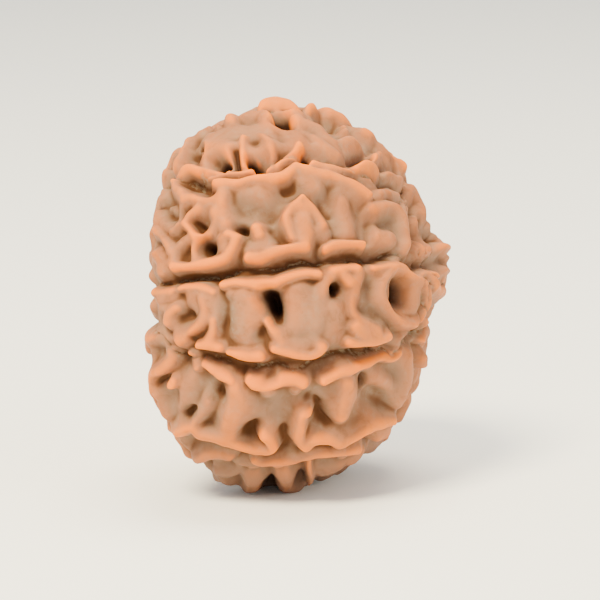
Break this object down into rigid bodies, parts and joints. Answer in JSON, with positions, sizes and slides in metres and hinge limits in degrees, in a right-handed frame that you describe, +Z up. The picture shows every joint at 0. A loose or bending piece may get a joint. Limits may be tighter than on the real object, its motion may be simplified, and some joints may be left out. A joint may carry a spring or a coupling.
{
  "type": "rudraksha bead",
  "caption": "Rounded oval seed stone with lengthwise grooves and a raised net of ridges and pits, standing on its rim on a small worn flat.",
  "frame": {"origin": "middle of the bounding box, on the surface that the stone stands on", "axes": "+Z up; the stone's axis of growth runs from its blunt end (-X) to its narrow end (+X, raised 11 degrees); the front of the chart faces -Y"},
  "size_m": [0.0188, 0.0268, 0.026],
  "materials": {
    "stone": "natural woody stone, softly waxed, darker in the pits and dusty between the ridges"
  },
  "bodies": {
    "root": {"bead": "stone"}
  },
  "joints": []
}
